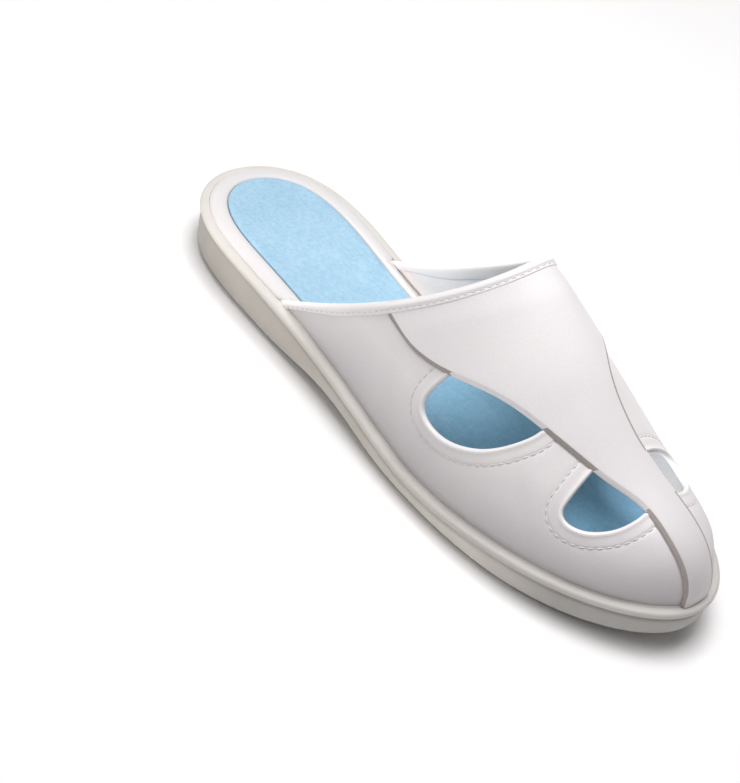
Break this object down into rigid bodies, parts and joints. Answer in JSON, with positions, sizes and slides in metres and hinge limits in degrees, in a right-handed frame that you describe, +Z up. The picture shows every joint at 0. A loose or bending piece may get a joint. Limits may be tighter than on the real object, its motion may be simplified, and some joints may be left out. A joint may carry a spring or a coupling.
{
  "type": "anti-static slipper",
  "caption": "Right open-back work slipper: white hollow upper with half-moon cut-outs beside a raised centre panel, blue woven pad on a white footbed, moulded sole with round tread dishes",
  "frame": {"origin": "centre of the bounding box in plan, on the floor under the sole", "axes": "+Z up, toe towards -Y, heel towards +Y, outer side of the right foot towards -X"},
  "size_m": [0.0931, 0.28, 0.0948],
  "materials": {
    "sole_rubber": "matte cream-white moulded sole",
    "footbed_cover": "smooth white coated cover",
    "pad_weave": "sky-blue woven cover",
    "upper_leather": "white coated synthetic leather, soft sheen",
    "panel_leather": "white coated synthetic leather, soft sheen"
  },
  "bodies": {
    "root": {"outsole": "sole_rubber", "footbed": "footbed_cover", "insole_pad": "pad_weave", "upper": "upper_leather", "vamp_panel": "panel_leather"}
  },
  "joints": []
}
